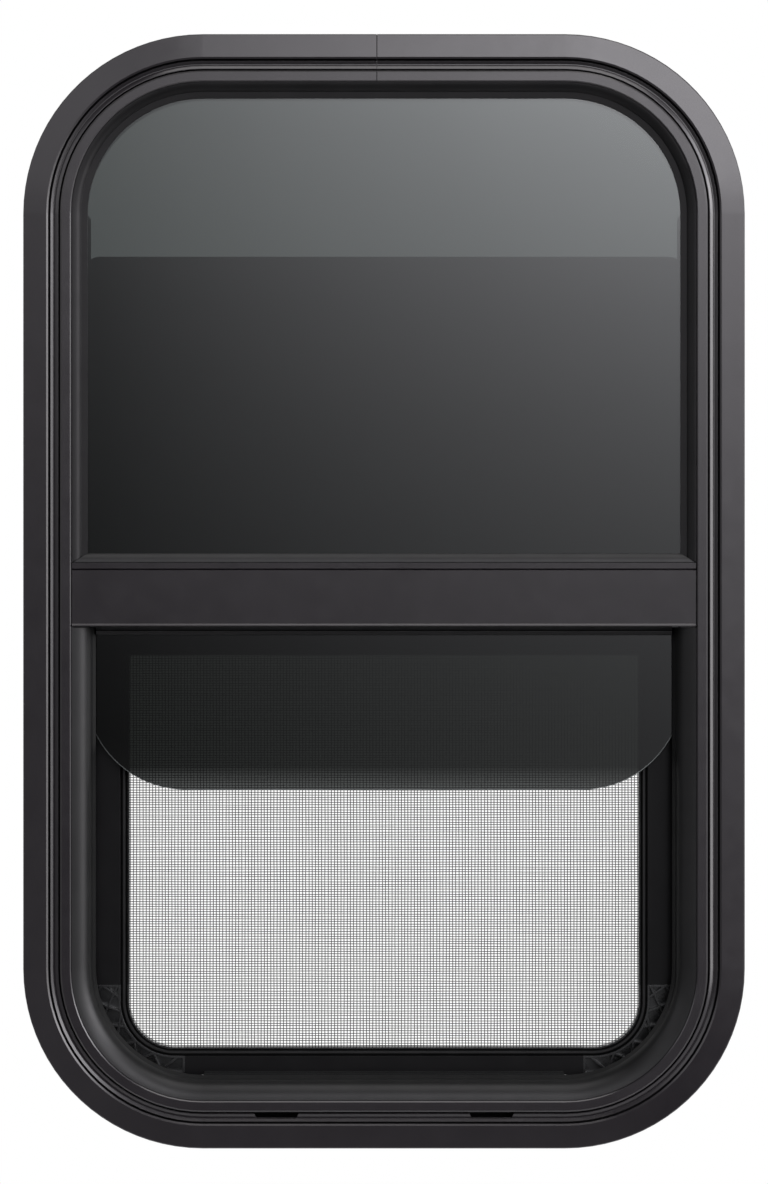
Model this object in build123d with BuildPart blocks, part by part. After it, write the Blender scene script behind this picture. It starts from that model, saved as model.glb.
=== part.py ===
"""Vertical sliding window for a caravan wall, as an assembly of separate pieces.

Frame: +X to the right seen from outside, +Y into the vehicle, +Z up. The origin is on the back face of the
mounting flange, in the middle of its bottom run, so the wall's outside face is the plane Y = 0.
"Inset" is measured inward from the flange's outer edge, "depth" inward from the wall's outside face.
"""

import os

from build123d import *

os.makedirs("parts", exist_ok=True)

# Overall size
overall_width = 406.0
overall_height = 627.0
corner_radius = 101.0
wall_thickness = 38.0

# Frame extrusion: widths of its steps, from the outer edge inward
metal = 1.6
flange_width = 14.2
groove_width = 1.4
lip_width = 1.4
channel_width = 4.2
band_width = 6.1
leg_reach = 8.7
jamb_reach = 4.7

# Frame extrusion: how far its faces stand out of the wall
flange_edge = 1.9
flange_front = 4.2
flange_slope = 1.0
flange_fall = 0.6
lip_front = 4.4
lip_fall = 0.8
channel_front = 3.0
band_front = 6.8
edge_round = 0.6
band_chamfer = 0.9
ridge_inset = 0.6
ridge_run = 2.0
ridge_rise = 1.2
ridge_crest = 0.4

# Seam, splice and weep slots of the frame
seam_offset = -4.0
seam_gap = 0.2
splice_length = 64.0
splice_width = 20.0
splice_thickness = 2.0
weep_spacing = 121.0
weep_length = 26.0
weep_height = 4.0
weep_angle = 65.0

# Glass and the gaps around it
glass_thickness = 4.0
glass_arris = 0.5
pane_corner_radius = 2.0
fixed_glass_front = -2.0
glass_edge_gap = 2.2
tape_thickness = 0.8
moving_gap = 5.2
run_gap = 0.5
seat_gap = 0.2

# Glazing rubber
gasket_width = 9.0
rubber_drop = 1.0
gasket_crest = 5.2
gasket_root = 0.9
gasket_edge = 0.6
gasket_crown = 0.8
bead_height = 5.2
bead_front = 5.0
bead_crown = 0.7

# Meeting rail, from its bottom up
rail_bottom = 293.9
rail_height = 35.5
rail_front = 5.8
rail_shelf = 22.0
rail_line = 31.3
rail_line_width = 1.1
rail_end_gap = 0.5
drip_height = 0.5
drip_reach = 0.9
rail_back_height = 23.0
pile_base = 6.4
pile_foot = 1.2
pile_thickness = 2.6
pile_tip = 1.4
pile_inset = 8.0
wiper_foot = 8.0
wiper_web = 1.4
wiper_bulb = 3.7
wiper_drop = 3.4

# Rubber strip round the lower half
seal_width = 12.9
seal_end_gap = 0.8
seal_crown = 2.7
seal_lip = 1.6
seal_turn = 3.3
seal_throat = 1.4

# Guides for the sash and the screen
track_base = 1.2
track_lip = 1.0
track_reach = 2.6
sill_rise = 5.0

# Sash
sash_height = 301.5
sash_raised = 162.5
lower_corner_radius = 57.0
sash_top_radius = 8.5

# Insect screen
screen_thickness = 8.0
screen_member = 24.4
screen_foot = 15.6
screen_height = 263.0
screen_wall = 1.2
screen_gap = 0.3
mesh_corner_radius = 26.0
mesh_top_radius = 2.0
mesh_thickness = 0.4
mesh_openings_across = 8
mesh_openings_up = 6
mesh_bar = 9.6
spline_width = 4.0
spline_depth = 3.6
spline_rim = 0.9
spline_gap = 0.2
spline_sink = 0.6
spline_round = 1.2
key_width = 56.0
key_height = 51.0
key_rim = 1.2
key_pocket = 5.0
key_rib = 1.1
key_rib_count = 6
key_rib_lean = 35.0

# Clamp ring inside the vehicle
ring_edge_inset = 4.0
ring_thickness = 2.0
ring_step = 0.5
ring_land = 10.0
ring_bevel = 0.9
ring_seam_gap = 0.4
ring_hole = 4.2
ring_sink = 8.0
screw_spacing = 120.0
screws_across = 2
screws_up = 4

# Edges of the frame
bottom_edge = -flange_width / 2
top_edge = bottom_edge + overall_height
half_width = overall_width / 2

# Insets, worked out from the steps of the extrusion
lip_at = flange_width + groove_width
channel_at = lip_at + lip_width
ridge_at = channel_at + ridge_inset + ridge_run
band_at = channel_at + channel_width
pocket_at = band_at + band_width
leg_end = pocket_at + leg_reach
jamb_at = pocket_at + jamb_reach
track_at = jamb_at + track_base
track_end = track_at + track_reach
edge_at = track_at + run_gap
sill_at = edge_at + sill_rise
fixed_glass_at = pocket_at + glass_edge_gap

# Depths, worked out from the layers between outside and inside
fixed_glass_back = fixed_glass_front + glass_thickness
leg_front = fixed_glass_back + tape_thickness
leg_back = leg_front + metal
sash_front = leg_back + moving_gap
sash_back = sash_front + glass_thickness
mesh_front = sash_back + moving_gap
screen_front = mesh_front + mesh_thickness
screen_back = screen_front + screen_thickness
frame_end = wall_thickness + ring_step
ring_back = frame_end + ring_thickness
track_lips = [
    sash_front - run_gap - track_lip,
    sash_back + run_gap,
    screen_front - screen_gap - track_lip,
    screen_back + screen_gap,
]
rubber_front = -(band_front - rubber_drop)

# Heights, worked out from the pieces
rail_z = bottom_edge + rail_bottom
rail_top = rail_z + rail_height
shelf_z = rail_z + rail_shelf
sash_z = bottom_edge + sill_at + sash_raised
screen_z = bottom_edge + sill_at
screen_top = screen_z + screen_height
straight_low = bottom_edge + corner_radius
straight_high = top_edge - corner_radius

# Half lengths of the pieces that run across
rail_half = half_width - pocket_at - rail_end_gap
rail_back_half = half_width - leg_end - seat_gap
pile_half = half_width - track_end - seat_gap
straight_half = half_width - corner_radius
screen_half = half_width - edge_at


def wall_plane(depth):
    """Plane parallel to the wall, seen from outside: X to the right, Z up, its normal outward."""
    return Plane(origin=(0, depth, 0), x_dir=(1, 0, 0), z_dir=(0, -1, 0))


def rounded_face(side, low, high, low_radius, high_radius, mode=Mode.ADD):
    """Face in the current sketch with its own radius at the lower and at the upper corners."""
    with BuildLine() as outline:
        FilletPolyline(
            (side, high), (side, low), (-side, low), (-side, high),
            radius=[high_radius, low_radius, low_radius, high_radius],
            close=True,
        )
    make_face(outline.edges(), mode=mode)


def frame_face(inset, mode=Mode.ADD):
    """Face in the current sketch: the frame's outline moved inward."""
    radius = corner_radius - inset
    rounded_face(half_width - inset, bottom_edge + inset, top_edge - inset, radius, radius, mode)


def mesh_face(outward, mode=Mode.ADD):
    """Face in the current sketch: the screen's open area moved outward."""
    rounded_face(
        screen_half - screen_member + outward,
        screen_z + screen_foot - outward,
        screen_top - screen_member + outward,
        mesh_corner_radius + outward,
        mesh_top_radius + outward,
        mode,
    )


def bulged(start, end, bulge):
    """Arc in the current line from start to end that stands out by a bulge on its left."""
    first, last = Vector(*start), Vector(*end)
    along = (last - first).normalized()
    middle = (first + last) * 0.5 + Vector(-along.Y, along.X) * bulge
    ThreePointArc(first, middle, last)


def save(piece, name):
    """Name a finished piece and write it."""
    piece.part.label = name
    export_step(piece.part, f"parts/{name}.step")


# Bent frame: one section swept round the window, from the seam back to the seam
seam_start = seam_offset + seam_gap / 2
seam_end = seam_offset - seam_gap / 2
with BuildPart() as outer_frame:
    with BuildLine(Plane.XZ) as frame_path:
        FilletPolyline(
            (seam_start, top_edge), (half_width, top_edge), (half_width, bottom_edge),
            (-half_width, bottom_edge), (-half_width, top_edge), (seam_end, top_edge),
            radius=corner_radius,
        )
    with BuildSketch(Plane(origin=(seam_start, 0, top_edge), x_dir=(0, 0, -1), z_dir=(1, 0, 0))):
        with BuildLine():
            Polyline(
                (0, 0),
                (0, -flange_edge + edge_round),
                (edge_round, -flange_edge),
                (flange_width - flange_slope, -flange_front),
                (flange_width, -flange_front + flange_fall),
                (flange_width, -metal),
                (lip_at, -metal),
                (lip_at, -lip_front),
                (channel_at, -lip_front + lip_fall),
                (channel_at, -channel_front),
                (channel_at + ridge_inset, -channel_front),
                (ridge_at, -channel_front - ridge_rise),
                (ridge_at + ridge_crest, -channel_front - ridge_rise),
                (ridge_at + ridge_crest, -metal),
                (band_at, -metal),
                (band_at, -band_front + band_chamfer),
                (band_at + band_chamfer, -band_front),
                (pocket_at - edge_round, -band_front),
                (pocket_at, -band_front + edge_round),
                (pocket_at, leg_front),
                (leg_end, leg_front),
                (leg_end, leg_back),
                (jamb_at, leg_back),
                (jamb_at, frame_end),
                (lip_at, frame_end),
                (lip_at, 0),
                close=True,
            )
        make_face()
        with BuildLine():
            Polyline(
                (lip_at + metal, 0),
                (band_at + metal, 0),
                (band_at + metal, -band_front + metal),
                (pocket_at - metal, -band_front + metal),
                (pocket_at - metal, leg_back),
                (jamb_at - metal, leg_back),
                (jamb_at - metal, frame_end - metal),
                (lip_at + metal, frame_end - metal),
                close=True,
            )
        make_face(mode=Mode.SUBTRACT)
    sweep(path=frame_path.wires()[0])
    with BuildSketch(wall_plane(-lip_front)):
        with Locations((0, bottom_edge + (channel_at + band_at) / 2)):
            with GridLocations(weep_spacing, 1, 2, 1):
                Trapezoid(weep_length, weep_height, weep_angle, rotation=180)
    extrude(amount=-lip_front, mode=Mode.SUBTRACT)
save(outer_frame, "outer_frame")

# Plate across the seam, on top of the jamb tube
with BuildPart() as frame_splice_plate:
    with BuildSketch(Plane.XY.offset(top_edge - lip_at)):
        with Locations((seam_offset, wall_thickness / 2)):
            RectangleRounded(splice_length, splice_width, splice_thickness)
    extrude(amount=splice_thickness)
save(frame_splice_plate, "frame_splice_plate")

# Upper pane, bedded on tape against the frame's glazing leg
with BuildPart() as fixed_glass:
    with BuildSketch(wall_plane(fixed_glass_back)):
        rounded_face(
            half_width - fixed_glass_at, shelf_z + seat_gap, top_edge - fixed_glass_at,
            pane_corner_radius, corner_radius - fixed_glass_at,
        )
    extrude(amount=glass_thickness)
save(fixed_glass, "fixed_glass")

with BuildLine(Plane.XZ) as head_path:
    FilletPolyline(
        (-half_width, rail_top + seat_gap), (-half_width, top_edge),
        (half_width, top_edge), (half_width, rail_top + seat_gap),
        radius=corner_radius,
    )
head_plane = Plane(origin=(-half_width, 0, rail_top + seat_gap), x_dir=(1, 0, 0), z_dir=(0, 0, 1))

with BuildPart() as glazing_tape:
    with BuildSketch(head_plane):
        with Locations((fixed_glass_at, fixed_glass_back)):
            Rectangle(leg_end - fixed_glass_at - seat_gap, tape_thickness, align=Align.MIN)
    sweep(path=head_path.wires()[0])
save(glazing_tape, "glazing_tape")

# Rubber gasket round the upper pane, mitred where it meets the bead on the rail
gasket_end = pocket_at + gasket_width
gasket_start = pocket_at + seat_gap
gasket_foot = fixed_glass_front - gasket_root
with BuildPart() as glazing_gasket:
    with BuildSketch(head_plane):
        with BuildLine():
            bulged((gasket_start + gasket_crest, gasket_foot), (gasket_start, rubber_front), gasket_crown)
            Polyline(
                (gasket_start, rubber_front),
                (gasket_start, leg_front - seat_gap),
                (fixed_glass_at - seat_gap, leg_front - seat_gap),
                (fixed_glass_at - seat_gap, fixed_glass_front),
                (gasket_end, fixed_glass_front),
                (gasket_end, fixed_glass_front - gasket_edge),
                (gasket_start + gasket_crest, gasket_foot),
            )
        make_face()
    sweep(path=head_path.wires()[0])
    with BuildSketch(wall_plane(leg_front)):
        for side in (-1, 1):
            with BuildLine():
                Polyline(
                    (side * (half_width - gasket_start), rail_top + seat_gap),
                    (side * (half_width - gasket_end), rail_top + seat_gap),
                    (side * (half_width - gasket_end), rail_top + seat_gap + bead_height),
                    close=True,
                )
            make_face()
    extrude(amount=leg_front + band_front, mode=Mode.SUBTRACT)
save(glazing_gasket, "glazing_gasket")

# Rubber bead between the upper pane and the rail, with ends that fit the gasket's mitres
bead_root = -rail_front + metal + seat_gap
bead_low = rail_top + seat_gap
with BuildPart() as glazing_bead:
    with BuildSketch(Plane.YZ):
        with BuildLine():
            bulged((-bead_front, bead_low), (fixed_glass_front, bead_low + bead_height), bead_crown)
            Polyline(
                (fixed_glass_front, bead_low + bead_height),
                (fixed_glass_front, shelf_z + seat_gap),
                (bead_root, shelf_z + seat_gap),
                (bead_root, bead_low),
                (-bead_front, bead_low),
            )
        make_face()
    extrude(amount=rail_half, both=True)
    with BuildSketch(wall_plane(fixed_glass_front)):
        for side in (-1, 1):
            with BuildLine():
                Polyline(
                    (side * rail_half, bead_low),
                    (side * rail_half, bead_low + bead_height),
                    (side * (half_width - gasket_end), bead_low + bead_height),
                    close=True,
                )
            make_face()
    extrude(amount=band_front, mode=Mode.SUBTRACT)
save(glazing_bead, "glazing_bead")

# Meeting rail: a hollow extrusion with a pocket for the pane and a wall behind it between the jambs
rail_back = leg_front - seat_gap
rail_inner = -rail_front + metal
with BuildPart() as meeting_rail:
    with BuildSketch(Plane.YZ):
        with BuildLine():
            Polyline(
                (-rail_front - drip_reach, rail_z),
                (-rail_front - drip_reach, rail_z + drip_height),
                (-rail_front, rail_z + drip_height + drip_reach),
                (-rail_front, rail_z + rail_line),
                (-rail_front + rail_line_width, rail_z + rail_line + rail_line_width / 2),
                (-rail_front, rail_z + rail_line + rail_line_width),
                (-rail_front, rail_top),
                (rail_inner, rail_top),
                (rail_inner, shelf_z),
                (rail_back, shelf_z),
                (rail_back, rail_z),
                close=True,
            )
        make_face()
        with Locations((rail_inner, rail_z + metal)):
            Rectangle(
                rail_back - metal - rail_inner, rail_shelf - 2 * metal,
                align=Align.MIN, mode=Mode.SUBTRACT,
            )
    extrude(amount=rail_half, both=True)
    with BuildSketch(Plane.YZ):
        with Locations((rail_back, rail_top - rail_back_height)):
            Rectangle(leg_back - rail_back, rail_back_height, align=Align.MIN)
    extrude(amount=rail_back_half, both=True)
save(meeting_rail, "meeting_rail")

# Pile seal on the back of the rail, just clear of the sash
pile_z = rail_top - pile_inset
with BuildPart() as rail_pile:
    with BuildSketch(Plane.YZ):
        with Locations((leg_back, pile_z)):
            Rectangle(pile_foot, pile_base, align=(Align.MIN, Align.CENTER))
        with BuildLine():
            Polyline(
                (leg_back + pile_foot, pile_z - pile_thickness / 2),
                (sash_front - run_gap, pile_z - pile_tip / 2),
                (sash_front - run_gap, pile_z + pile_tip / 2),
                (leg_back + pile_foot, pile_z + pile_thickness / 2),
                close=True,
            )
        make_face()
    extrude(amount=pile_half, both=True)
save(rail_pile, "rail_pile")

# Bulb seal along the lower edge of the rail, on a foot behind it and just clear of the sash
seal_end = pocket_at + seal_width
wiper_back = rail_back + seat_gap
wiper_half = half_width - seal_end - seat_gap
bulb_depth = sash_front - run_gap - wiper_bulb / 2
with BuildPart() as rail_wiper:
    with BuildSketch(Plane.YZ):
        with BuildLine():
            Polyline(
                (wiper_back, rail_z + wiper_foot),
                (wiper_back, rail_z),
                (bulb_depth, rail_z - wiper_drop),
                (bulb_depth + wiper_web / 2, rail_z - wiper_drop + wiper_web),
                (wiper_back + wiper_web, rail_z),
                (wiper_back + wiper_web, rail_z + wiper_foot),
                close=True,
            )
        make_face()
        with Locations((bulb_depth, rail_z - wiper_drop)):
            Circle(wiper_bulb / 2)
    extrude(amount=wiper_half, both=True)
save(rail_wiper, "rail_wiper")

# Rounded rubber strip round the lower half, with a wiping lip in front of the guides
seal_tip = track_lips[0] - 2 * seat_gap
seal_top = rail_z - seal_end_gap
with BuildPart() as jamb_seal:
    with BuildLine(Plane.XZ) as sill_path:
        FilletPolyline(
            (half_width, seal_top), (half_width, bottom_edge),
            (-half_width, bottom_edge), (-half_width, seal_top),
            radius=corner_radius,
        )
    with BuildSketch(Plane(origin=(half_width, 0, seal_top), x_dir=(-1, 0, 0), z_dir=(0, 0, -1))):
        with BuildLine():
            bulged((seal_end - seal_lip, seal_tip - seal_turn), (gasket_start, rubber_front), seal_crown)
            Polyline(
                (gasket_start, rubber_front),
                (gasket_start, leg_front - seat_gap),
                (leg_end + seat_gap, leg_front - seat_gap),
                (leg_end + seal_throat, seal_tip - seal_turn),
                (seal_end - seal_lip, seal_tip),
                (seal_end, seal_tip),
                (seal_end - seal_lip, seal_tip - seal_turn),
            )
        make_face()
    sweep(path=sill_path.wires()[0])
save(jamb_seal, "jamb_seal")


def track_sketch(inward, rise=0.0):
    """Comb section in the current sketch: a base, raised off the jamb, and four lips that reach past it."""
    with Locations((inward * (jamb_at + rise), track_lips[0])):
        Rectangle(track_base, track_lips[-1] + track_lip - track_lips[0], align=(toward(inward), Align.MIN))
    with Locations([(inward * jamb_at, depth) for depth in track_lips]):
        Rectangle(rise + track_base + track_reach, track_lip, align=(toward(inward), Align.MIN))


def toward(sign):
    """Alignment that makes a rectangle reach along the sign of its axis."""
    return Align.MIN if sign > 0 else Align.MAX


# Side guides on the straight stretch of the jambs
with BuildPart() as track_left:
    with BuildSketch(Plane(origin=(-half_width, 0, straight_low), x_dir=(1, 0, 0), z_dir=(0, 0, 1))):
        track_sketch(1)
    extrude(amount=straight_high - straight_low)
save(track_left, "track_left")

with BuildPart() as track_right:
    with BuildSketch(Plane(origin=(half_width, 0, straight_low), x_dir=(1, 0, 0), z_dir=(0, 0, 1))):
        track_sketch(-1)
    extrude(amount=straight_high - straight_low)
save(track_right, "track_right")

# The same guide on the sill, between the bends and raised to meet the sash's rounded corners
with BuildPart() as sill_track:
    with BuildSketch(Plane(origin=(-straight_half, 0, bottom_edge), x_dir=(0, 0, 1), z_dir=(-1, 0, 0))):
        track_sketch(1, sill_rise)
    extrude(amount=-2 * straight_half)
save(sill_track, "sill_track")

# Sliding pane, half raised
with BuildPart() as sash_glass:
    with BuildSketch(wall_plane(sash_back)):
        rounded_face(screen_half, sash_z, sash_z + sash_height, lower_corner_radius, sash_top_radius)
    extrude(amount=glass_thickness)
    chamfer(sash_glass.faces().filter_by(Axis.Y).edges(), glass_arris)
save(sash_glass, "sash_glass")


def cut_spline_groove():
    """Cut the groove that takes the mesh and its spline into the front of the current part."""
    with BuildSketch(wall_plane(screen_front)) as groove:
        mesh_face(spline_rim + spline_width)
        mesh_face(spline_rim, Mode.SUBTRACT)
    extrude(groove.sketch, amount=-spline_depth, mode=Mode.SUBTRACT)


def member_section(width, inward, start):
    """Hollow section of a screen member in the current sketch, from its outer edge inward."""
    hollow = width - spline_rim - spline_width - 2 * screen_wall
    with Locations((start, screen_front)):
        Rectangle(width, screen_thickness, align=(toward(inward), Align.MIN))
    with Locations((start + inward * screen_wall, screen_front + screen_wall)):
        Rectangle(
            hollow, screen_thickness - 2 * screen_wall,
            align=(toward(inward), Align.MIN), mode=Mode.SUBTRACT,
        )


# Screen stiles stand on the corner keys and are mitred at the top
for side, name in ((-1, "screen_stile_left"), (1, "screen_stile_right")):
    with BuildPart() as screen_stile:
        with BuildSketch(Plane.XY.offset(screen_z + key_height)):
            member_section(screen_member, -side, side * screen_half)
        extrude(amount=screen_height - key_height)
        cut_spline_groove()
        with BuildSketch(wall_plane(screen_back)):
            with BuildLine():
                Polyline(
                    (side * screen_half, screen_top),
                    (side * (screen_half - screen_member), screen_top),
                    (side * (screen_half - screen_member), screen_top - screen_member),
                    close=True,
                )
            make_face()
        extrude(amount=screen_thickness, mode=Mode.SUBTRACT)
    save(screen_stile, name)

with BuildPart() as screen_rail_top:
    with BuildSketch(Plane(origin=(-screen_half, 0, 0), x_dir=(0, 0, 1), z_dir=(-1, 0, 0))):
        member_section(screen_member, -1, screen_top)
    extrude(amount=-2 * screen_half)
    cut_spline_groove()
    with BuildSketch(wall_plane(screen_back)):
        for side in (-1, 1):
            with BuildLine():
                Polyline(
                    (side * screen_half, screen_top),
                    (side * screen_half, screen_top - screen_member),
                    (side * (screen_half - screen_member), screen_top - screen_member),
                    close=True,
                )
            make_face()
    extrude(amount=screen_thickness, mode=Mode.SUBTRACT)
save(screen_rail_top, "screen_rail_top")

with BuildPart() as screen_rail_bottom:
    with BuildSketch(Plane(origin=(-screen_half + key_width, 0, 0), x_dir=(0, 0, 1), z_dir=(-1, 0, 0))):
        member_section(screen_foot, 1, screen_z)
    extrude(amount=-2 * (screen_half - key_width))
    cut_spline_groove()
save(screen_rail_bottom, "screen_rail_bottom")


def key_area(side, rim):
    """Face in the current sketch: a lower corner of the screen, less a rim all round."""
    rounded_face(
        screen_half - rim, screen_z + rim, screen_top,
        lower_corner_radius - rim, mesh_top_radius,
    )
    with Locations((side * (screen_half - rim), screen_z + rim)):
        Rectangle(
            key_width - 2 * rim, key_height - 2 * rim,
            align=(toward(-side), Align.MIN), mode=Mode.INTERSECT,
        )


# Moulded corner keys, lightened by pockets between leaning ribs
for side, name in ((-1, "screen_corner_left"), (1, "screen_corner_right")):
    with BuildPart() as screen_corner:
        with BuildSketch(wall_plane(screen_back)):
            key_area(side, 0)
            mesh_face(0, Mode.SUBTRACT)
        extrude(amount=screen_thickness)
        cut_spline_groove()
        with BuildSketch(wall_plane(screen_front)):
            key_area(side, key_rim)
            mesh_face(spline_rim + spline_width + key_rim, Mode.SUBTRACT)
            with Locations((side * (screen_half - lower_corner_radius), screen_z + lower_corner_radius)):
                first_rib = 180 if side < 0 else 270 + 90 / key_rib_count
                with PolarLocations(lower_corner_radius, key_rib_count, first_rib, angular_range=90):
                    for lean in (-key_rib_lean, key_rib_lean):
                        Rectangle(2 * screen_member, key_rib, rotation=lean, mode=Mode.SUBTRACT)
        extrude(amount=-key_pocket, mode=Mode.SUBTRACT)
    save(screen_corner, name)

# Rubber spline in the groove, and the mesh that it holds over the rim
with BuildPart() as screen_spline:
    with BuildSketch(wall_plane(screen_front + spline_depth - spline_gap)):
        mesh_face(spline_rim + spline_width - spline_gap)
        mesh_face(spline_rim + spline_gap, Mode.SUBTRACT)
    extrude(amount=spline_depth - spline_gap - spline_sink)
    chamfer(screen_spline.faces().sort_by(Axis.Y)[0].edges(), spline_round)
save(screen_spline, "screen_spline")

with BuildPart() as screen_mesh:
    with BuildSketch(wall_plane(screen_front)):
        mesh_face(spline_rim)
    extrude(amount=mesh_thickness)
    open_half = screen_half - screen_member
    open_low = screen_z + screen_foot
    open_high = screen_top - screen_member
    with BuildSketch(wall_plane(screen_front)):
        rounded_face(
            open_half - mesh_bar / 2, open_low + mesh_bar / 2, open_high - mesh_bar / 2,
            mesh_corner_radius - mesh_bar / 2, mesh_top_radius,
        )
        with Locations((0, (open_low + open_high) / 2)):
            with GridLocations(2 * open_half / mesh_openings_across, 0, mesh_openings_across - 1, 1):
                Rectangle(mesh_bar, open_high - open_low, mode=Mode.SUBTRACT)
            with GridLocations(0, (open_high - open_low) / mesh_openings_up, 1, mesh_openings_up - 1):
                Rectangle(2 * open_half, mesh_bar, mode=Mode.SUBTRACT)
    extrude(amount=mesh_thickness, mode=Mode.SUBTRACT)
save(screen_mesh, "screen_mesh")

# Clamp ring: a land bears on the wall and a seat on the frame's end, with sunk screw holes
with BuildPart() as clamp_ring:
    with BuildSketch(wall_plane(ring_back)):
        frame_face(ring_edge_inset)
        frame_face(jamb_at, Mode.SUBTRACT)
    extrude(amount=ring_thickness)
    chamfer(clamp_ring.faces().sort_by(Axis.Y)[-1].edges(), ring_bevel)
    with BuildSketch(wall_plane(frame_end)):
        frame_face(ring_edge_inset)
        frame_face(ring_edge_inset + ring_land, Mode.SUBTRACT)
    extrude(amount=ring_step)
    screw_inset = (lip_at + jamb_at) / 2
    inside = Plane(origin=(0, ring_back, (bottom_edge + top_edge) / 2), x_dir=(-1, 0, 0), z_dir=(0, 1, 0))
    with Locations(inside):
        with GridLocations(screw_spacing, overall_height - 2 * screw_inset, screws_across, 2):
            CounterSinkHole(ring_hole / 2, ring_sink / 2, ring_thickness)
        with GridLocations(overall_width - 2 * screw_inset, screw_spacing, 2, screws_up):
            CounterSinkHole(ring_hole / 2, ring_sink / 2, ring_thickness)
    with BuildSketch(wall_plane(ring_back)):
        with Locations((0, bottom_edge + jamb_at / 2)):
            Rectangle(ring_seam_gap, jamb_at)
    extrude(amount=ring_thickness + ring_step, mode=Mode.SUBTRACT)
save(clamp_ring, "clamp_ring")
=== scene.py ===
"""Looks of a vertical sliding caravan window: finishes, woven mesh, fasteners, studio light and camera.

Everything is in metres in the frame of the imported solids: +X to the right seen from outside, +Y into the
vehicle, +Z up, with the wall's outside face at Y = 0.
"""

import math
import random

import bmesh
import bpy
from mathutils import Matrix, Vector


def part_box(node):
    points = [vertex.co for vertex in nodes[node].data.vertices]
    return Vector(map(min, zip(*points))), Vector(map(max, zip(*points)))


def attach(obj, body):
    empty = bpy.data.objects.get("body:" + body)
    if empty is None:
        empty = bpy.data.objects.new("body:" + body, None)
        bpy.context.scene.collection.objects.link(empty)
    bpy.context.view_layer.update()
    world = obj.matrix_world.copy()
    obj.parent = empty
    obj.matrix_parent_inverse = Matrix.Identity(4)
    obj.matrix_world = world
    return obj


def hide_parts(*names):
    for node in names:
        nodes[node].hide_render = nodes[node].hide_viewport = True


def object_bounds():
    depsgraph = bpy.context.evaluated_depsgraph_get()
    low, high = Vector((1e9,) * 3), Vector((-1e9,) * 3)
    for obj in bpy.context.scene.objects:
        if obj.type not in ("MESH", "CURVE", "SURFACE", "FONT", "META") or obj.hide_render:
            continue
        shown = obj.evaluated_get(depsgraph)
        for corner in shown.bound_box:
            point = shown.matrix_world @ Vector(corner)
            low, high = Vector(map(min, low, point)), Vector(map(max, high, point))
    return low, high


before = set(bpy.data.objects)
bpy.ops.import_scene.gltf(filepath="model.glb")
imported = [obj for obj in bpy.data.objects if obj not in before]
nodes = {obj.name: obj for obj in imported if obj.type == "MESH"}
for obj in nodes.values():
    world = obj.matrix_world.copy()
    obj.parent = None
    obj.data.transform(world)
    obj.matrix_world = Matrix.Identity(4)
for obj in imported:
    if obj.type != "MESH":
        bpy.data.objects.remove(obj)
cad_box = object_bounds()

MM = 0.001

# Photograph
photo_height = 1184
pixel_size = 0.5627 * MM
camera_distance = 2.0
edge_depth = 5.5 * MM
camera_drop = 0.4 * MM
sensor_height = 36.0

# Studio
front_level = 0.55
rise_with_height = 12.5
top_level = 3.9
top_end = 0.5
above_share = 0.1
behind_share = 0.2
dim_side = 0.36
bright_side = 1.75
side_span = 0.08
floor_bounce = 0.26
left_fill = 0.22
right_fill = 1.1
seam_glow = 1.6
floor_drop = 0.5
floor_back = 0.7
floor_radius = 1.7
floor_clear = 0.9
floor_sides = 96
floor_patch = 0.4
floor_rough = 0.9
floor_dark = (0.72, 0.72, 0.72)
floor_light = (0.76, 0.76, 0.76)
cool_white = (0.99, 1.0, 1.04, 1.0)
plain_white = (1.0, 1.0, 1.0, 1.0)
right_strip = {"place": (1.6, -0.75, 0.4), "width": 0.8, "height": 1.3, "level": 4.2}
top_box = {"place": (0.2, -0.55, 2.0), "width": 1.5, "height": 1.3, "level": 3.3}

# Where the studio's parts start and end, as parts of a direction of length 1: to the right, up or inward
top_fade = 0.15
bounce_up = (-0.12, -0.04)
left_reach = (-0.3, -0.15)
right_reach = (0.5, 0.75)
glow_left = (-0.014, 0.01)
glow_right = (0.1, 0.25)
glow_low = (0.28, 0.36)
glow_high = (0.6, 0.7)
behind_fade = (-0.1, 0.2)
mirror_fade = (0.0, 0.2)

# Finishes
noise_span = (0.3, 0.7)
tone_patch = 22 * MM
gloss_patch = 9 * MM
bevel_samples = 4
tint_patch = 90 * MM
wave_length = 60 * MM
wave_depth = 0.02 * MM
wave_stretch = (3.0, 1.0, 1.0)
glass_index = 1.52
bead_gloss = 0.19

# How square to the wall a face is that counts as a pane's face or as a groove's floor
pane_face = 0.9
groove_face = 0.99
groove_margin = 0.05 * MM

# Frame
groove_floor = -1.6 * MM
bead_shade_span = 0.9 * MM
sash_edge_span = 13.0 * MM

# Woven insect mesh
pitch_across = 1.814 * MM
pitch_up = 1.411 * MM
thread_width = 0.43 * MM
thread_sides = 6
thread_pieces = 14
thread_offset = 0.06 * MM
mesh_corner = 26.9 * MM
waver = 0.09 * MM
waver_change = (0.8, 1.2)
waver_turns = (1.5, 4.0)
weave_seed = 7

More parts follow.
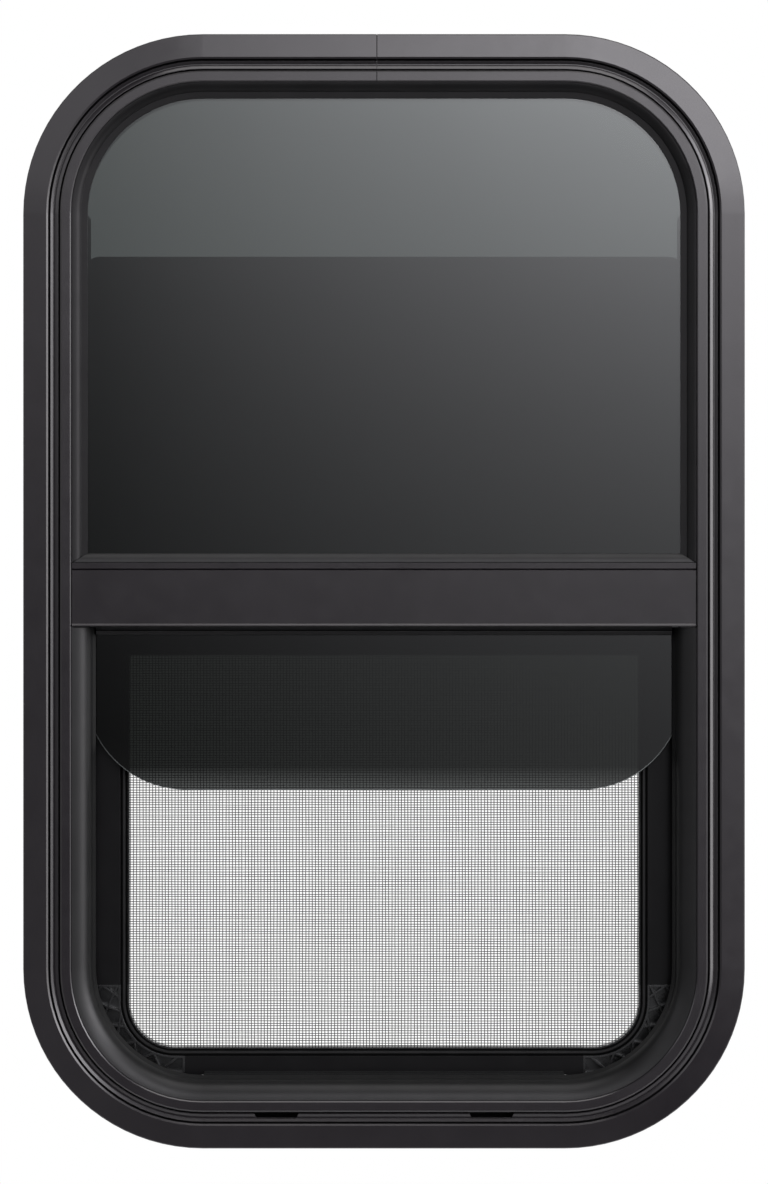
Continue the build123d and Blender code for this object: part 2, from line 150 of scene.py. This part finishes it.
# Fasteners and sealant
screw_inset = 23.8 * MM
screw_spacing = 120.0 * MM
screws_across = 2
screws_up = 4
head_radius = 3.8 * MM
head_sink = 0.1 * MM
head_depth = 1.8 * MM
neck_radius = 2.0 * MM
head_sides = 32
recess_arm = 2.1 * MM
recess_half = 0.4 * MM
recess_depth = 1.0 * MM
pit_arm = 0.6 * recess_arm
pit_half = 0.8 * recess_half
screw_seed = 3
rivet_radius = 3.2 * MM
rivet_height = 1.2 * MM
rivet_rings = 5
rivet_shares = (-0.38, -0.14, 0.14, 0.38)
seam_offset = -4.0 * MM
seam_width = 0.18 * MM
smear_width = 0.5 * MM
smear_height = 0.04 * MM
sealant_depth = 1.2 * MM
flange_run = ((0.6 * MM, -1.9 * MM), (13.2 * MM, -4.2 * MM))
band_run = ((22.1 * MM, -6.8 * MM), (26.7 * MM, -6.8 * MM))


def add(tree, kind, inputs=None, **settings):
    """New node in a tree. An input is a value, or a socket to link from."""
    node = tree.nodes.new(kind)
    for name, value in settings.items():
        setattr(node, name, value)
    for name, value in (inputs or {}).items():
        if isinstance(value, bpy.types.NodeSocket):
            tree.links.new(value, node.inputs[name])
        else:
            node.inputs[name].default_value = value
    return node


def new_tree(name):
    """New material with only an output and a principled shader: the material, its tree and the shader."""
    material = bpy.data.materials.new(name)
    material.use_nodes = True
    tree = material.node_tree
    tree.nodes.clear()
    shader = add(tree, "ShaderNodeBsdfPrincipled")
    add(tree, "ShaderNodeOutputMaterial", {"Surface": shader.outputs["BSDF"]})
    return material, tree, shader


def noise(tree, size, detail=2.0, stretch=(1.0, 1.0, 1.0)):
    """Noise with features of one size, stretched along the axes of the object's own coordinates."""
    place = add(tree, "ShaderNodeTexCoord")
    mapping = add(tree, "ShaderNodeMapping", {"Vector": place.outputs["Object"]})
    mapping.inputs["Scale"].default_value = [1.0 / factor for factor in stretch]
    texture = add(
        tree, "ShaderNodeTexNoise",
        {"Vector": mapping.outputs["Vector"], "Scale": 1.0 / size, "Detail": detail},
    )
    return texture.outputs["Fac"]


def maths(tree, operation, first, second):
    """Result of one sum on two numbers or sockets."""
    return add(tree, "ShaderNodeMath", {0: first, 1: second}, operation=operation).outputs["Value"]


def ramp(tree, value, start, end, low, high):
    """A number that runs from low to high as a value runs from start to end, and stays there."""
    inputs = {"Value": value, "From Min": start, "From Max": end, "To Min": low, "To Max": high}
    return add(tree, "ShaderNodeMapRange", inputs).outputs["Result"]


def between(tree, factor, low, high):
    """A number that follows a noise from low to high."""
    return ramp(tree, factor, *noise_span, low, high)


def colour_mix(tree, factor, first, second):
    """A colour between two colours, each a value or a socket."""
    blend = add(tree, "ShaderNodeMix", {"Factor": factor}, data_type="RGBA")
    for socket, value in zip((s for s in blend.inputs if s.type == "RGBA"), (first, second)):
        if isinstance(value, bpy.types.NodeSocket):
            tree.links.new(value, socket)
        else:
            socket.default_value = (*value, 1.0)
    return next(socket for socket in blend.outputs if socket.type == "RGBA")


def tones(tree, factor, dark, light):
    """A colour that follows a noise between two tones."""
    return colour_mix(tree, between(tree, factor, 0.0, 1.0), dark, light)


def coat(
    name, dark, light, rough, grain, depth, edge,
    gloss=0.5, tint=(1.0, 1.0, 1.0), metallic=0.0, stretch=(1.0, 1.0, 1.0),
):
    """Opaque finish: two close tones, uneven gloss, a fine grain and softened edges."""
    material, tree, shader = new_tree(name)
    colour = tones(tree, noise(tree, tone_patch, 4.0, stretch), dark, light)
    tree.links.new(colour, shader.inputs["Base Color"])
    tree.links.new(between(tree, noise(tree, gloss_patch, 3.0, stretch), *rough), shader.inputs["Roughness"])
    rounding = add(tree, "ShaderNodeBevel", {"Radius": edge}, samples=bevel_samples)
    bump = add(
        tree, "ShaderNodeBump",
        {"Strength": 1.0, "Distance": depth, "Height": noise(tree, grain, 2.0, stretch),
         "Normal": rounding.outputs["Normal"]},
    )
    tree.links.new(bump.outputs["Normal"], shader.inputs["Normal"])
    shader.inputs["Metallic"].default_value = metallic
    shader.inputs["Specular IOR Level"].default_value = gloss
    shader.inputs["Specular Tint"].default_value = (*tint, 1.0)
    return material


def object_height(tree):
    """Height of a point in the object's own coordinates."""
    place = add(tree, "ShaderNodeTexCoord").outputs["Object"]
    return add(tree, "ShaderNodeSeparateXYZ", {"Vector": place}).outputs["Z"]


def paint_foot_shade(material, low, high, gloss):
    """Painted shade at the foot of an opaque finish: takes the gloss off at a low height and lets it grow to
    its full share at a high one.
    """
    tree = material.node_tree
    shader = next(node for node in tree.nodes if node.type == "BSDF_PRINCIPLED")
    growing = ramp(tree, object_height(tree), low, high, 0.0, gloss)
    tree.links.new(growing, shader.inputs["Specular IOR Level"])


def glass(name, thin, dense, edge_tone=None, edge_height=0.0):
    """Tinted safety glass with the slight waviness that tempering leaves.

    An edge tone makes the tint paler towards the pane's lower edge, which is at the edge height.
    """
    material, tree, shader = new_tree(name)
    colour = tones(tree, noise(tree, tint_patch, 1.0), dense, thin)
    if edge_tone:
        paler = ramp(tree, object_height(tree), edge_height, edge_height + sash_edge_span, 1.0, 0.0)
        colour = colour_mix(tree, paler, colour, edge_tone)
    tree.links.new(colour, shader.inputs["Base Color"])
    wave = add(
        tree, "ShaderNodeBump",
        {"Strength": 1.0, "Distance": wave_depth, "Height": noise(tree, wave_length, 1.0, wave_stretch)},
    )
    tree.links.new(wave.outputs["Normal"], shader.inputs["Normal"])
    shader.inputs["Transmission Weight"].default_value = 1.0
    shader.inputs["Roughness"].default_value = 0.0
    shader.inputs["IOR"].default_value = glass_index
    return material


powder_coat = coat(
    "powder_coat", (0.0032, 0.0023, 0.0032), (0.0046, 0.0036, 0.0046), rough=(0.19, 0.22),
    grain=0.5 * MM, depth=0.008 * MM, edge=0.12 * MM,
    gloss=0.47, tint=(1.0, 0.965, 0.97),
)
# Slightly darker, less glossy copy of the powder coat, painting shade on the meeting rail.
shaded_rail_coat = coat(
    "shaded_rail_coat", (0.0030, 0.0022, 0.0030), (0.0044, 0.0034, 0.0044), rough=(0.19, 0.22),
    grain=0.5 * MM, depth=0.008 * MM, edge=0.12 * MM,
    gloss=0.42, tint=(1.0, 0.965, 0.97),
)
# Darker, duller coat that paints shade on the floors of the frame's narrow grooves.
groove_shade_coat = coat(
    "groove_shade_coat", (0.0012, 0.0010, 0.0012), (0.0020, 0.0018, 0.0020), rough=(0.70, 0.80),
    grain=0.5 * MM, depth=0.02 * MM, edge=0.05 * MM,
    gloss=0.04,
)
screen_paint = coat(
    "screen_paint", (0.0014, 0.0012, 0.0014), (0.0022, 0.0020, 0.0022), rough=(0.28, 0.32),
    grain=0.7 * MM, depth=0.01 * MM, edge=0.3 * MM,
    gloss=0.11,
)
rubber = coat(
    "rubber", (0.0028, 0.0028, 0.0028), (0.0042, 0.0042, 0.0042), rough=(0.34, 0.40),
    grain=0.35 * MM, depth=0.02 * MM, edge=0.2 * MM,
    gloss=0.18, tint=(1.0, 0.97, 0.98),
)
bead_rubber_shaded_foot = coat(
    "bead_rubber_shaded_foot", (0.0028, 0.0028, 0.0028), (0.0042, 0.0042, 0.0042), rough=(0.34, 0.40),
    grain=0.35 * MM, depth=0.02 * MM, edge=0.2 * MM,
    tint=(1.0, 0.97, 0.98),
)
# Painted shade in the crease where the glazing bead meets the meeting rail: the bead loses its gloss over its
# lowest part.
bead_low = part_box("meeting_rail")[1].z
paint_foot_shade(bead_rubber_shaded_foot, bead_low, bead_low + bead_shade_span, bead_gloss)
gasket_rubber = coat(
    "gasket_rubber", (0.0022, 0.0022, 0.0022), (0.0034, 0.0034, 0.0034), rough=(0.36, 0.42),
    grain=0.35 * MM, depth=0.02 * MM, edge=0.3 * MM,
    gloss=0.13, tint=(1.0, 0.95, 0.98),
)
plastic = coat(
    "plastic", (0.0018, 0.0018, 0.0018), (0.0028, 0.0028, 0.0028), rough=(0.36, 0.44),
    grain=0.6 * MM, depth=0.02 * MM, edge=0.2 * MM,
    gloss=0.12,
)
key_plastic = coat(
    "key_plastic", (0.0020, 0.0018, 0.0020), (0.0032, 0.0030, 0.0032), rough=(0.24, 0.30),
    grain=0.6 * MM, depth=0.02 * MM, edge=0.25 * MM,
    gloss=0.42,
)
foam = coat(
    "foam", (0.006, 0.006, 0.006), (0.014, 0.014, 0.014), rough=(0.80, 0.92),
    grain=0.3 * MM, depth=0.12 * MM, edge=0.1 * MM,
)
pile_fibre = coat(
    "pile_fibre", (0.006, 0.006, 0.006), (0.020, 0.020, 0.020), rough=(0.80, 0.95),
    grain=0.25 * MM, depth=0.2 * MM, edge=0.1 * MM,
    stretch=(1.0, 4.0, 1.0),
)
sealant = coat(
    "sealant", (0.0020, 0.0020, 0.0020), (0.0040, 0.0040, 0.0040), rough=(0.60, 0.75),
    grain=0.5 * MM, depth=0.05 * MM, edge=0.05 * MM,
    gloss=0.08,
)
mill_metal = coat(
    "mill_metal", (0.56, 0.57, 0.58), (0.66, 0.67, 0.68), rough=(0.28, 0.40),
    grain=0.4 * MM, depth=0.01 * MM, edge=0.3 * MM,
    metallic=1.0, stretch=(24.0, 1.0, 1.0),
)
blackened_steel = coat(
    "blackened_steel", (0.03, 0.03, 0.032), (0.05, 0.05, 0.052), rough=(0.28, 0.40),
    grain=0.3 * MM, depth=0.01 * MM, edge=0.15 * MM,
    metallic=0.6,
)
thread_vinyl = coat(
    "thread_vinyl", (0.014, 0.0145, 0.015), (0.028, 0.0285, 0.029), rough=(0.70, 0.82),
    grain=1.4 * MM, depth=0.03 * MM, edge=0.02 * MM,
    gloss=0.15,
)
# Edge finish of the sash pane: partly the real ground edge, partly a painted highlight along the arris.
ground_edge_highlight = coat(
    "ground_edge_highlight", (0.085, 0.090, 0.088), (0.120, 0.126, 0.123), rough=(0.55, 0.70),
    grain=0.3 * MM, depth=0.02 * MM, edge=0.05 * MM,
)
pane_glass = glass("pane_glass", (0.051, 0.058, 0.057), (0.048, 0.055, 0.054))
sash_tint = glass(
    "sash_tint", (0.0112, 0.0128, 0.0115), (0.0104, 0.0120, 0.0108),
    edge_tone=(0.083, 0.088, 0.086), edge_height=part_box("sash_glass")[0].z,
)

finishes = {
    "outer_frame": powder_coat,
    "meeting_rail": shaded_rail_coat,
    "clamp_ring": powder_coat,
    "frame_splice_plate": mill_metal,
    "fixed_glass": pane_glass,
    "sash_glass": sash_tint,
    "glazing_gasket": gasket_rubber,
    "glazing_bead": bead_rubber_shaded_foot,
    "rail_wiper": rubber,
    "jamb_seal": rubber,
    "screen_spline": rubber,
    "glazing_tape": foam,
    "rail_pile": pile_fibre,
    "track_left": plastic,
    "track_right": plastic,
    "sill_track": plastic,
    "screen_stile_left": screen_paint,
    "screen_stile_right": screen_paint,
    "screen_rail_top": screen_paint,
    "screen_rail_bottom": screen_paint,
    "screen_corner_left": key_plastic,
    "screen_corner_right": key_plastic,
    "screen_mesh": thread_vinyl,
}
for name, finish in finishes.items():
    nodes[name].data.materials.clear()
    nodes[name].data.materials.append(finish)


def grind_and_highlight_edges(pane):
    """Pale ground finish on the arris and edge of a pane, pale enough to paint the highlight that the arris
    catches.
    """
    mesh = nodes[pane].data
    mesh.materials.append(ground_edge_highlight)
    for face in mesh.polygons:
        if abs(face.normal.y) < pane_face:
            face.material_index = 1


def paint_groove_shade():
    """Painted shade on the floors of the frame's narrow grooves: a darker, duller coat on the faces there."""
    mesh = nodes["outer_frame"].data
    mesh.materials.append(groove_shade_coat)
    for face in mesh.polygons:
        if face.normal.y < -groove_face and abs(face.center.y - groove_floor) < groove_margin:
            face.material_index = 1


grind_and_highlight_edges("sash_glass")
paint_groove_shade()


def new_piece(name, points, faces, material, body, smooth=True):
    """Mesh object from points and faces, riding on a body."""
    mesh = bpy.data.meshes.new(name)
    mesh.from_pydata(points, [], faces)
    mesh.validate()
    mesh.update()
    mesh.materials.append(material)
    mesh.polygons.foreach_set("use_smooth", [smooth] * len(mesh.polygons))
    piece = bpy.data.objects.new(name, mesh)
    bpy.context.scene.collection.objects.link(piece)
    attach(piece, body)
    return piece


def add_tube(points, faces, centres, side, up, radius):
    """Closed tube round a row of centres, with its rings in the plane of two given axes."""
    first = len(points)
    for centre in centres:
        for corner in range(thread_sides):
            angle = math.tau * corner / thread_sides
            points.append(centre + radius * (math.cos(angle) * side + math.sin(angle) * up))
    for ring in range(len(centres) - 1):
        for corner in range(thread_sides):
            here = first + ring * thread_sides
            following = (corner + 1) % thread_sides
            faces.append((
                here + corner, here + following,
                here + thread_sides + following, here + thread_sides + corner,
            ))
    last = len(points) - thread_sides
    faces.append(tuple(range(first + thread_sides - 1, first - 1, -1)))
    faces.append(tuple(range(last, last + thread_sides)))


def weave_mesh():
    """Insect mesh of single threads, each a little uneven, within the rounded outline of its plate."""
    low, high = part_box("screen_mesh")
    half = (high.x - low.x) / 2
    depth = (low.y + high.y) / 2
    chance = random.Random(weave_seed)
    axis_x, axis_y, axis_z = Vector((1, 0, 0)), Vector((0, 1, 0)), Vector((0, 0, 1))
    points, faces = [], []

    def inset(past):
        """How far the rounded corner draws in, that far past the start of its arc."""
        past = min(max(past, 0.0), mesh_corner)
        return mesh_corner - math.sqrt(mesh_corner ** 2 - past ** 2)

    def wander():
        """Slow sideways wave of one thread, as a function of the share of its length."""
        phase = chance.uniform(0, math.tau)
        turns = chance.uniform(*waver_turns)

        def offset(share):
            """Sideways place of the thread at a share of its length."""
            return waver * chance.uniform(*waver_change) * math.sin(phase + math.tau * turns * share)

        return offset

    count = int((2 * half - thread_width) / pitch_across)
    for number in range(count):
        x = (number - (count - 1) / 2) * pitch_across
        start = low.z + inset(abs(x) - half + mesh_corner)
        drift = wander()
        centres = []
        for step in range(thread_pieces + 1):
            share = step / thread_pieces
            z = start + share * (high.z - start)
            centres.append(Vector((x + drift(share), depth - thread_offset, z)))
        add_tube(points, faces, centres, axis_x, axis_y, thread_width / 2)

    count = int((high.z - low.z - thread_width) / pitch_up)
    for number in range(count):
        z = low.z + thread_width + number * pitch_up
        reach = half - inset(low.z + mesh_corner - z)
        drift = wander()
        centres = []
        for step in range(thread_pieces + 1):
            share = step / thread_pieces
            centres.append(Vector((reach * (2 * share - 1), depth + thread_offset, z + drift(share))))
        add_tube(points, faces, centres, axis_z, -axis_y, thread_width / 2)

    mesh = new_piece("insect_mesh", points, faces, thread_vinyl, "frame")
    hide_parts("screen_mesh")
    return mesh


weave_mesh()


def round_outline(radius, sides):
    """Points of a circle in a plane of its own, from the first axis on."""
    angles = [math.tau * k / sides for k in range(sides)]
    return [(radius * math.cos(angle), radius * math.sin(angle)) for angle in angles]


def cross_outline(arm, half):
    """Corners of a cross recess, one arm after the other."""
    corners = []
    for turn in range(4):
        along = Vector((math.cos(math.tau * turn / 4), math.sin(math.tau * turn / 4)))
        across = Vector((-along.y, along.x))
        corners += [arm * along - half * across, arm * along + half * across, half * along + half * across]
    return [tuple(corner) for corner in corners]


def add_loop(form, outline, height):
    """Closed row of points at one height, with its edges."""
    points = [form.verts.new((x, y, height)) for x, y in outline]
    edges = [form.edges.new((points[k], points[(k + 1) % len(points)])) for k in range(len(points))]
    return points, edges


def add_wall(form, lower, upper):
    """Band of faces between two rows of as many points."""
    for k in range(len(lower)):
        following = (k + 1) % len(lower)
        form.faces.new((lower[k], lower[following], upper[following], upper[k]))


def screw_head():
    """Countersunk head with a cross recess, its top at height 0, as points and faces."""
    form = bmesh.new()
    rim, rim_edges = add_loop(form, round_outline(head_radius, head_sides), 0.0)
    neck, _ = add_loop(form, round_outline(neck_radius, head_sides), -head_depth)
    mouth, mouth_edges = add_loop(form, cross_outline(recess_arm, recess_half), 0.0)
    pit, _ = add_loop(form, cross_outline(pit_arm, pit_half), -recess_depth)
    bmesh.ops.triangle_fill(form, use_beauty=True, edges=rim_edges + mouth_edges)
    add_wall(form, neck, rim)
    add_wall(form, mouth, pit)
    form.faces.new(neck[::-1])
    form.faces.new(pit)
    bmesh.ops.recalc_face_normals(form, faces=form.faces)
    form.verts.index_update()
    points = [point.co.copy() for point in form.verts]
    faces = [tuple(point.index for point in face.verts) for face in form.faces]
    form.free()
    return points, faces


def rivet_head():
    """Domed rivet head on height 0, as points and faces."""
    points, faces = [], []
    for ring in range(rivet_rings):
        lift = math.pi / 2 * ring / rivet_rings
        outline = round_outline(rivet_radius * math.cos(lift), head_sides)
        points += [Vector((x, y, rivet_height * math.sin(lift))) for x, y in outline]
    points.append(Vector((0, 0, rivet_height)))
    for ring in range(rivet_rings - 1):
        for k in range(head_sides):
            here = ring * head_sides + k
            following = ring * head_sides + (k + 1) % head_sides
            faces.append((here, following, following + head_sides, here + head_sides))
    last = (rivet_rings - 1) * head_sides
    faces += [(last + k, last + (k + 1) % head_sides, len(points) - 1) for k in range(head_sides)]
    faces.append(tuple(range(head_sides - 1, -1, -1)))
    return points, faces


def repeat(name, form, places, material):
    """One piece made of a form set at several places, each a matrix."""
    shape_points, shape_faces = form
    points, faces = [], []
    for place in places:
        first = len(points)
        points += [place @ point for point in shape_points]
        faces += [tuple(first + index for index in face) for face in shape_faces]
    return new_piece(name, points, faces, material, "frame", smooth=False)


def clamp_screws():
    """Screws in the sunk holes of the clamp ring, each turned by chance."""
    low, high = cad_box
    middle = (low + high) / 2
    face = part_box("clamp_ring")[1].y - head_sink
    spots = []
    for side in (-1, 1):
        for number in range(screws_across):
            along = (number - (screws_across - 1) / 2) * screw_spacing
            spots.append((middle.x + along, middle.z + side * ((high.z - low.z) / 2 - screw_inset)))
        for number in range(screws_up):
            along = (number - (screws_up - 1) / 2) * screw_spacing
            spots.append((middle.x + side * ((high.x - low.x) / 2 - screw_inset), middle.z + along))
    chance = random.Random(screw_seed)
    outward = Matrix.Rotation(-math.pi / 2, 4, "X")
    places = []
    for x, z in spots:
        turn = Matrix.Rotation(chance.uniform(0, math.tau), 4, "Z")
        places.append(Matrix.Translation((x, face, z)) @ outward @ turn)
    screws = repeat("clamp_screws", screw_head(), places, blackened_steel)


def splice_rivets():
    """Rivets through the plate that joins the two ends of the frame."""
    low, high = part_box("frame_splice_plate")
    middle = (low + high) / 2
    places = [
        Matrix.Translation((middle.x + share * (high.x - low.x), middle.y, high.z))
        for share in rivet_shares
    ]
    rivets = repeat("splice_rivets", rivet_head(), places, mill_metal)


def seam_sealant():
    """Dark sealant in the seam of the frame's top run: a web in the gap under a narrow smear on the face."""
    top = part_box("outer_frame")[1].z
    points, faces = [], []
    for run in (flange_run, band_run):
        for width, rise, sink in ((smear_width, smear_height, 0.0), (seam_width, 0.0, sealant_depth)):
            first = len(points)
            for inset, front in run:
                for y in (front - rise, front + sink):
                    for side in (-1, 1):
                        points.append(Vector((seam_offset + side * width / 2, y, top - inset)))
            box = [(0, 1, 3, 2), (4, 6, 7, 5), (0, 4, 5, 1), (2, 3, 7, 6), (0, 2, 6, 4), (1, 5, 7, 3)]
            faces += [tuple(first + corner for corner in face) for face in box]
    strip = new_piece("seam_sealant", points, faces, sealant, "frame", smooth=False)


clamp_screws()
splice_rivets()
seam_sealant()


def studio():
    """White surroundings for what is seen directly, through glass or mirrored from behind the object.

    In front of the object stands a graded studio, brightest above and on the right, which lights it.
    """
    world = bpy.data.worlds.new("studio")
    world.use_nodes = True
    bpy.context.scene.world = world
    tree = world.node_tree
    tree.nodes.clear()
    direction = add(tree, "ShaderNodeTexCoord").outputs["Generated"]
    split = add(tree, "ShaderNodeSeparateXYZ", {"Vector": direction})
    across, inward, up = split.outputs["X"], split.outputs["Y"], split.outputs["Z"]
    rise = maths(tree, "EXPONENT", maths(tree, "MULTIPLY", up, rise_with_height), 0.0)
    band = maths(tree, "MINIMUM", maths(tree, "MULTIPLY", rise, front_level), top_level)
    height = maths(tree, "MULTIPLY", band, ramp(tree, up, top_end, top_end + top_fade, 1.0, above_share))
    side = ramp(tree, across, -side_span, side_span, dim_side, bright_side)
    bounce = ramp(tree, up, *bounce_up, floor_bounce, 0.0)
    fill = maths(
        tree, "ADD",
        ramp(tree, across, *left_reach, left_fill, 0.0), ramp(tree, across, *right_reach, 0.0, right_fill),
    )
    glow = maths(
        tree, "MULTIPLY",
        ramp(tree, across, *glow_left, 0.0, seam_glow), ramp(tree, across, *glow_right, 1.0, 0.0),
    )
    above = maths(tree, "MULTIPLY", ramp(tree, up, *glow_low, 0.0, 1.0), ramp(tree, up, *glow_high, 1.0, 0.0))
    spread = maths(tree, "ADD", maths(tree, "ADD", bounce, fill), maths(tree, "MULTIPLY", glow, above))
    front = ramp(tree, inward, *behind_fade, 1.0, behind_share)
    level = maths(tree, "MULTIPLY", maths(tree, "ADD", maths(tree, "MULTIPLY", height, side), spread), front)
    light = add(tree, "ShaderNodeBackground", {"Color": cool_white, "Strength": level})
    white = add(tree, "ShaderNodeBackground", {"Color": plain_white, "Strength": 1.0})
    rays = add(tree, "ShaderNodeLightPath")
    behind = ramp(tree, inward, *mirror_fade, 0.0, 1.0)
    mirrored = maths(tree, "MULTIPLY", rays.outputs["Is Glossy Ray"], behind)
    seen = maths(tree, "MAXIMUM", rays.outputs["Is Camera Ray"], rays.outputs["Is Transmission Ray"])
    shown = maths(tree, "MAXIMUM", seen, mirrored)
    mix = add(
        tree, "ShaderNodeMixShader",
        {0: shown, 1: light.outputs["Background"], 2: white.outputs["Background"]},
    )
    add(tree, "ShaderNodeOutputWorld", {"Surface": mix.outputs["Shader"]})


def softbox(name, place, width, height, level):
    """Area light that faces the middle of the frame, with a given brightness of its face."""
    low, high = cad_box
    data = bpy.data.lights.new(name, "AREA")
    data.shape = "RECTANGLE"
    data.size = width
    data.size_y = height
    data.energy = level * math.pi * width * height
    lamp = bpy.data.objects.new(name, data)
    lamp.location = place
    lamp.rotation_euler = ((low + high) / 2 - Vector(place)).to_track_quat("-Z", "Y").to_euler()
    bpy.context.scene.collection.objects.link(lamp)


def pale_floor():
    """Pale round floor well below the window, which fades out before its edge and keeps the soft shadow."""
    material, tree, shader = new_tree("pale_floor")
    shader.inputs["Roughness"].default_value = floor_rough
    colour = tones(tree, noise(tree, floor_patch, 3.0), floor_dark, floor_light)
    tree.links.new(colour, shader.inputs["Base Color"])
    place = add(tree, "ShaderNodeTexCoord").outputs["Object"]
    reach = add(tree, "ShaderNodeVectorMath", {0: place}, operation="LENGTH").outputs["Value"]
    tree.links.new(ramp(tree, reach, floor_clear, floor_radius, 1.0, 0.0), shader.inputs["Alpha"])
    mesh = bpy.data.meshes.new("pale_floor")
    points = [(x, y, 0.0) for x, y in round_outline(floor_radius, floor_sides)]
    mesh.from_pydata(points, [], [tuple(range(floor_sides))])
    mesh.materials.append(material)
    floor = bpy.data.objects.new("pale_floor", mesh)
    floor.location = (0.0, floor_back, -floor_drop)
    bpy.context.scene.collection.objects.link(floor)


def camera():
    """Camera square to the wall, in front of the middle of the frame, framed as the photograph is."""
    low, high = cad_box
    data = bpy.data.cameras.new("camera")
    data.sensor_fit = "VERTICAL"
    data.sensor_height = sensor_height
    data.lens = sensor_height * (camera_distance + edge_depth) / (photo_height * pixel_size)
    eye = bpy.data.objects.new("camera", data)
    eye.location = ((low.x + high.x) / 2, low.y - camera_distance, (low.z + high.z) / 2 - camera_drop)
    eye.rotation_euler = (math.pi / 2, 0.0, 0.0)
    bpy.context.scene.collection.objects.link(eye)
    bpy.context.scene.camera = eye


studio()
softbox("right_strip", **right_strip)
softbox("top_box", **top_box)
pale_floor()
camera()
bpy.context.scene.view_settings.view_transform = "Standard"
